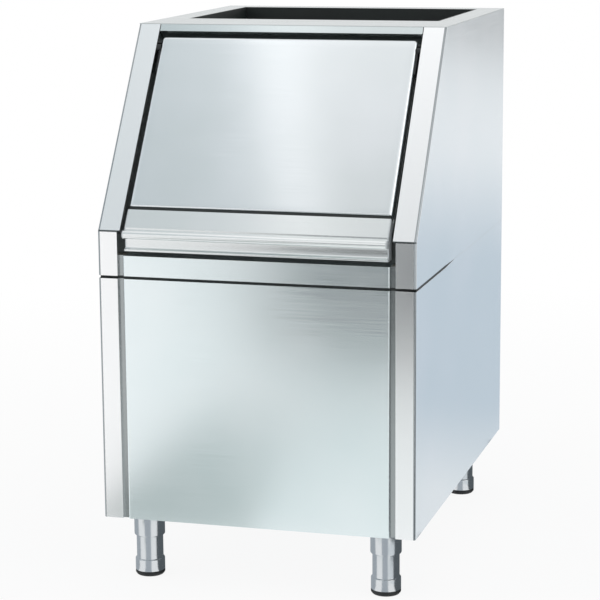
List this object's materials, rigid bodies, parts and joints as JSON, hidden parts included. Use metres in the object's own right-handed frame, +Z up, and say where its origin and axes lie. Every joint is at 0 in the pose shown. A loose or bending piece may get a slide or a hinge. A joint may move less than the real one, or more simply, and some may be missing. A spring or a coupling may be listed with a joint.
{
  "type": "ice storage bin",
  "caption": "Free-standing insulated stainless ice storage bin with a sloped lift-up door, a full-width grip handle, an open top for an ice maker, a drain and levelling legs.",
  "frame": {"origin": "middle of the footprint of the closed bin, on the floor", "axes": "+X to the right as seen from the front, +Y from the door to the back, +Z up"},
  "size_m": [0.56, 0.7814, 0.963],
  "materials": {
    "stainless": "satin stainless sheet",
    "galvanised": "zinc-coated steel",
    "black_steel": "black coated steel",
    "leg_chrome": "polished",
    "bright_steel": "smooth stainless",
    "black_rubber": "matt black",
    "black_plastic": "matt black",
    "liner_plastic": "smooth, off-white",
    "black_nylon": "black, smooth",
    "nylon": "natural",
    "foam": "rigid insulating foam"
  },
  "bodies": {
    "cabinet": {"lower_side_left": "stainless", "lower_side_right": "stainless", "lower_front": "stainless", "base_pan": "galvanised", "back_panel": "galvanised", "back_screws": "galvanised", "seam_strip": "black_plastic", "cheek_left": "stainless", "cheek_right": "stainless", "apron": "stainless", "top_bar": "stainless", "top_deck": "stainless", "mouth_frame": "black_plastic", "liner": "liner_plastic", "insulation": "foam", "drop_collar": "black_plastic", "door_buffers": "black_rubber", "hinge_block_left": "galvanised", "hinge_block_right": "galvanised", "hinge_bush_left": "black_nylon", "hinge_bush_right": "black_nylon", "stop_peg_left": "galvanised", "stop_peg_right": "galvanised", "drain_fitting": "bright_steel", "drain_strainer": "bright_steel", "drain_washer": "black_rubber", "drain_nut": "nylon", "leg_plate_front_left": "galvanised", "leg_plate_front_right": "galvanised", "leg_plate_rear_left": "galvanised", "leg_plate_rear_right": "galvanised", "leg_sleeve_front_left": "leg_chrome", "leg_sleeve_front_right": "leg_chrome", "leg_sleeve_rear_left": "leg_chrome", "leg_sleeve_rear_right": "leg_chrome"},
    "door": {"door_skin": "stainless", "door_core": "foam", "door_liner": "liner_plastic", "door_gasket": "black_rubber", "door_trim": "black_plastic", "door_handle": "stainless", "handle_cap_left": "stainless", "handle_cap_right": "stainless", "hinge_arm_left": "black_steel", "hinge_arm_right": "black_steel", "hinge_pin_left": "bright_steel", "hinge_pin_right": "bright_steel", "arm_rivets": "black_steel"},
    "foot_front_left": {"leg_foot_front_left": "leg_chrome", "foot_pad_front_left": "black_rubber"},
    "foot_front_right": {"leg_foot_front_right": "leg_chrome", "foot_pad_front_right": "black_rubber"},
    "foot_rear_left": {"leg_foot_rear_left": "leg_chrome", "foot_pad_rear_left": "black_rubber"},
    "foot_rear_right": {"leg_foot_rear_right": "leg_chrome", "foot_pad_rear_right": "black_rubber"}
  },
  "joints": [
    {"name": "door_hinge", "type": "hinge", "parent": "cabinet", "child": "door", "pos_m": [0, -0.16603, 0.92198], "axis": [-1, 0, 0], "range_deg": [0, 150]},
    {"name": "level_front_left", "type": "slide", "parent": "cabinet", "child": "foot_front_left", "axis": [0, 0, -1], "range_m": [-0.015, 0.012]},
    {"name": "level_front_right", "type": "slide", "parent": "cabinet", "child": "foot_front_right", "axis": [0, 0, -1], "range_m": [-0.015, 0.012]},
    {"name": "level_rear_left", "type": "slide", "parent": "cabinet", "child": "foot_rear_left", "axis": [0, 0, -1], "range_m": [-0.015, 0.012]},
    {"name": "level_rear_right", "type": "slide", "parent": "cabinet", "child": "foot_rear_right", "axis": [0, 0, -1], "range_m": [-0.015, 0.012]}
  ]
}
